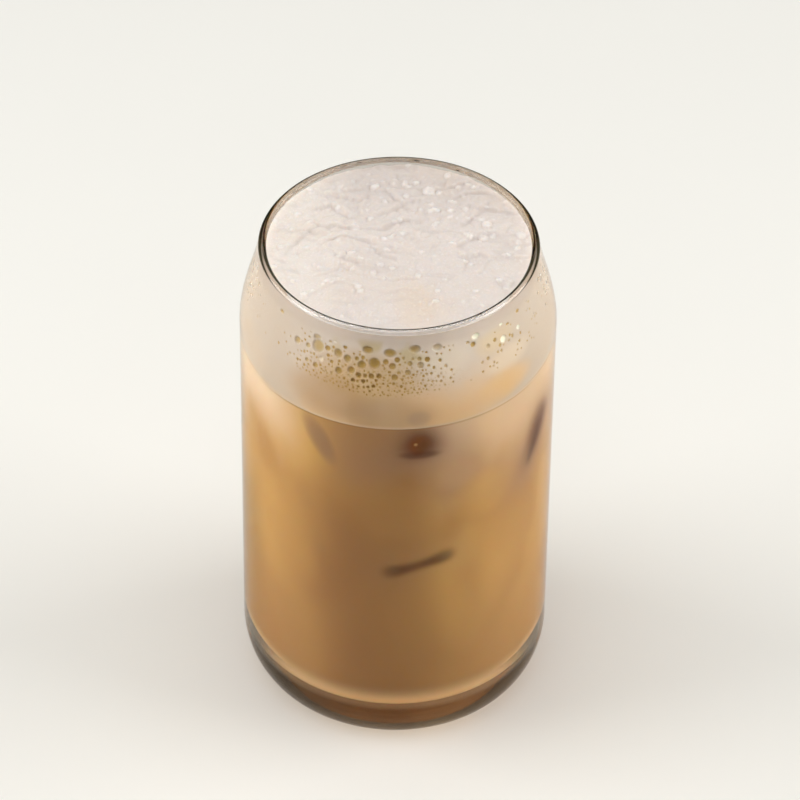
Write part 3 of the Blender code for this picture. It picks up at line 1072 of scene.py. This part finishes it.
def foam_material(settings):
    """Froth: dry and pale on top, wet and tan near the coffee, olive and brown in the bubbles at the wall."""
    graph = Graph("milk_foam")
    above = graph.z - line_height(graph.x)
    top = graph.attribute("top")
    skin = graph.attribute("skin")
    cloud = graph.noise(55.0, 3.0, warp=0.5)
    cells = graph.node("ShaderNodeTexVoronoi", inputs={"Vector": graph.place, "Scale": 1500.0})
    shade = graph.mix(top, side_colour(graph, settings, cloud, above), top_colour(graph, settings))
    shade = graph.fade(shade, (0.8, 0.62, 0.44), graph.noise(38.0, 2.0), 0.5, 0.75, 0.22)
    grey = graph.between(graph.noise(120.0, 3.0, (1.0, 2.4, 1.0), 0.4), 0.5, 0.72, 0.0, 0.28)
    shade = graph.mix(grey * top, shade, (0.6, 0.545, 0.525))
    shade = graph.mix(graph.between(cells, 0.1, 0.42, 0.0, 0.2) * top, shade, (0.6, 0.52, 0.46))
    fine = graph.spot((-0.003, 0.1168), (0.022, 0.0062)) * graph.between(cells, 0.42, 0.14)
    shade = graph.mix(fine * (1.0 - top) * 0.5, shade, settings.bubble)
    shade = bubble_colour(graph, settings, shade)
    shade = graph.fade(shade, (0.8, 0.6, 0.42), above, 0.0011, 0.0001, 0.5)
    # Painted highlight: the skins of the bubbles on top are paler
    shade = graph.mix(skin * 0.4, shade, (0.97, 0.94, 0.92))
    # Painted shade in the furrows of the folds and wrinkles
    shade = graph.mix(graph.attribute("fold") * 0.25, shade, (0.5, 0.43, 0.4))
    fizz = cells * top * graph.between(graph.y, 0.01, -0.012, 0.35, 1.0)
    surface = {
        "Base Color": shade,
        "Roughness": graph.between(skin, 0.0, 1.0, 0.55, 0.25),
        "Coat Weight": graph.between(skin, 0.2, 0.9, 0.03, 0.5),
        "Coat Roughness": 0.12,
        "Specular IOR Level": 0.15,
        "Subsurface Weight": 0.55,
        "Subsurface Radius": (1.0, 0.8, 0.6),
        "Subsurface Scale": 0.0018,
        "Normal": graph.bump(fizz, 0.00014, 0.6),
    }
    return graph.finish(graph.principled(surface))


def bubbled_ring(across, height, bubbles):
    """How deep, how dark and how much of a bubble's edge each point of one ring of the foam's side is."""
    depth = np.zeros(len(across))
    pit = np.zeros(len(across))
    rim = np.zeros(len(across))
    near = np.abs(bubbles[:, 1] - height.mean()) < bubbles[:, 2] + 0.002
    for centre, level, size, dark in bubbles[near]:
        tall = 0.7 if level > 0.124 else 1.0
        soft = 1.0 if size > 0.0009 else 1.6
        gap = np.hypot(across - centre, (height - level) / tall) / size
        hollow = np.sqrt(np.maximum(1.0 - gap * gap, 0.0))
        depth = np.maximum(depth, hollow * min(PIT_SHARE * size, PIT_LIMIT))
        pit = np.where(hollow > 0.0, dark * smoothstep(hollow * soft), pit)
        rim = np.maximum(rim, max(dark, 0.0) * np.exp(-(((gap - 0.92) / 0.15) ** 2)))
    return depth, pit, rim


def make_foam(settings):
    """The foam from the line to close under the rim, with its bubbled side and streaky top as one skin."""
    reach = bpy.context.scene.latte_drink.reach
    edge = float(inner_radius(FOAM_HEIGHT, -reach))
    radius, turns, index, outer = disc_grid(settings.cells)
    x = edge * radius * np.cos(turns)
    y = edge * radius * np.sin(turns)
    relief, skin, fold = top_relief(x, y, settings.froth)
    points = [np.stack([x, y, FOAM_HEIGHT + relief], axis=1)]
    marks = [np.zeros((2, len(x)))]
    squares = np.stack([index[:-1, :-1], index[:-1, 1:], index[1:, 1:], index[1:, :-1]], axis=-1)
    high = points[0][outer, 2]
    turns = turns[outer]
    low = line_height(inner_radius(LINE_HEIGHT, -reach) * np.cos(turns))
    bubbles = wall_bubbles(settings.bubbles)
    across = ((turns + 1.5 * math.pi) % (2.0 * math.pi) - math.pi) * WALL_RADIUS
    shares = [*np.linspace(1.0, 0.36, 66)[1:], *np.linspace(0.36, 0.0, 10)[1:]]
    for share in shares:
        height = low + share * (high - low)
        depth, pit, rim = bubbled_ring(across, height, bubbles)
        points.append(ring_points(turns, inner_radius(height, -reach) - depth, height))
        marks.append(np.stack([pit, rim]))
    points.append(np.array([[0.0, 0.0, LINE_HEIGHT]]))
    marks.append(np.zeros((2, 1)))
    below = len(x) + np.arange(len(shares) * len(outer)).reshape(len(shares), -1)
    side = band_faces([outer, *below.tolist(), [len(x) + below.size]])
    faces = squares.reshape(-1, 4).tolist() + [(face[0], *face[:0:-1]) for face in side]
    piece = add_piece("foam_layer", np.concatenate(points), faces, "foam", 55)
    pits, rings = np.concatenate(marks, axis=1)
    give_attribute(piece, "pit", pits)
    give_attribute(piece, "ring", rings)
    for name, values in {"skin": skin, "fold": fold, "top": np.ones(len(x))}.items():
        give_attribute(piece, name, np.concatenate([values, np.zeros(len(pits) - len(x))]))
    dress(piece, foam_material(settings))


def floor_material(settings):
    """Matt pale card with a barely visible mottle."""
    graph = Graph("pale_card")
    mottle = graph.between(graph.noise(9.0, 2.0), 0.3, 0.7)
    shade = graph.mix(mottle, settings.floor, [part * 0.992 for part in settings.floor])
    return graph.finish(graph.principled({"Base Color": shade, "Roughness": 0.9}))


def add_panel(name, place, side, power):
    """A soft square panel of light that faces the drink and isn't seen itself."""
    data = bpy.data.lights.new(name, "AREA")
    data.size = side
    data.energy = power
    data.color = PANEL_COLOUR
    panel = place_object(name, data)
    panel.location = place
    toward = Vector((0.0, 0.0, PANEL_AIM)) - Vector(place)
    panel.rotation_euler = toward.to_track_quat("-Z", "Y").to_euler()
    panel.visible_camera = False


def add_camera(settings):
    """The camera in front, looking down on the drink."""
    data = bpy.data.cameras.new("camera")
    data.sensor_width = SENSOR_WIDTH
    data.lens = FOCAL_PIXELS / IMAGE_PIXELS * SENSOR_WIDTH
    data.shift_x = (0.5 * IMAGE_PIXELS - AXIS_COLUMN) / IMAGE_PIXELS
    camera = place_object("camera", data)
    camera.matrix_world = (
        Matrix.Translation((0.0, 0.0, settings.aim))
        @ Matrix.Rotation(0.5 * math.pi - settings.elevation, 4, "X")
        @ Matrix.Rotation(settings.roll, 4, "Z")
        @ Matrix.Translation((0.0, 0.0, settings.distance))
    )
    bpy.context.scene.camera = camera


def make_stage(settings):
    """Camera, floor, soft lights and a dim room."""
    scene = bpy.context.scene
    scene.view_settings.view_transform = "Standard"
    add_camera(settings)
    data = bpy.data.meshes.new("floor")
    low, high = -FLOOR_REACH, FLOOR_REACH
    corners = [(low, low, 0.0), (high, low, 0.0), (high, high, 0.0), (low, high, 0.0)]
    data.from_pydata(corners, [], [(0, 1, 2, 3)])
    floor = place_object("floor", data)
    dress(floor, floor_material(settings))
    for name, (place, side, power) in PANELS.items():
        add_panel(name, place, side, power)
    world = bpy.data.worlds.new("dim_room")
    world.use_nodes = True
    background = world.node_tree.nodes["Background"]
    background.inputs["Color"].default_value = (*ROOM_COLOUR, 1.0)
    background.inputs["Strength"].default_value = ROOM_STRENGTH
    scene.world = world


class GlassOperator(bpy.types.Operator):
    """Make the glass"""

    bl_idname = "iced_latte.make_glass"
    bl_label = "Make glass"

    def execute(self, context):
        make_glass(context.scene.latte_glass)
        return {"FINISHED"}


class IceOperator(bpy.types.Operator):
    """Make the three blocks of ice"""

    bl_idname = "iced_latte.make_ice"
    bl_label = "Make ice"

    def execute(self, context):
        make_ice(context.scene.latte_ice)
        return {"FINISHED"}


class DrinkOperator(bpy.types.Operator):
    """Make the milk coffee round the ice"""

    bl_idname = "iced_latte.make_drink"
    bl_label = "Make drink"

    def execute(self, context):
        make_drink(context.scene.latte_drink)
        return {"FINISHED"}


class FoamOperator(bpy.types.Operator):
    """Make the foam with its bubbles"""

    bl_idname = "iced_latte.make_foam"
    bl_label = "Make foam"

    def execute(self, context):
        make_foam(context.scene.latte_foam)
        return {"FINISHED"}


class StageOperator(bpy.types.Operator):
    """Make the camera, floor and lights"""

    bl_idname = "iced_latte.make_stage"
    bl_label = "Make stage"

    def execute(self, context):
        make_stage(context.scene.latte_stage)
        return {"FINISHED"}


class LattePanel(bpy.types.Panel):
    """Lists the steps that make the iced latte."""

    bl_idname = "VIEW3D_PT_iced_latte"
    bl_label = "Iced latte"
    bl_space_type = "VIEW_3D"
    bl_region_type = "UI"
    bl_category = "Iced latte"

    def draw(self, context):
        for operator in OPERATORS:
            self.layout.operator(operator.bl_idname)


SETTINGS = {
    "latte_glass": GlassSettings,
    "latte_drink": DrinkSettings,
    "latte_foam": FoamSettings,
    "latte_ice": IceSettings,
    "latte_stage": StageSettings,
}
OPERATORS = (GlassOperator, IceOperator, DrinkOperator, FoamOperator, StageOperator)


def register():
    """Adds the settings, operators and panel to Blender."""
    for name, group in SETTINGS.items():
        bpy.utils.register_class(group)
        setattr(bpy.types.Scene, name, PointerProperty(type=group))
    for made in (*OPERATORS, LattePanel):
        bpy.utils.register_class(made)


def unregister():
    """Takes them out again."""
    for made in (LattePanel, *reversed(OPERATORS)):
        bpy.utils.unregister_class(made)
    for name, group in SETTINGS.items():
        delattr(bpy.types.Scene, name)
        bpy.utils.unregister_class(group)


def main():
    """Makes every piece and the stage."""
    register()
    bpy.ops.iced_latte.make_glass()
    bpy.ops.iced_latte.make_ice()
    bpy.ops.iced_latte.make_drink()
    bpy.ops.iced_latte.make_foam()
    bpy.ops.iced_latte.make_stage()


if __name__ == "__main__":
    main()
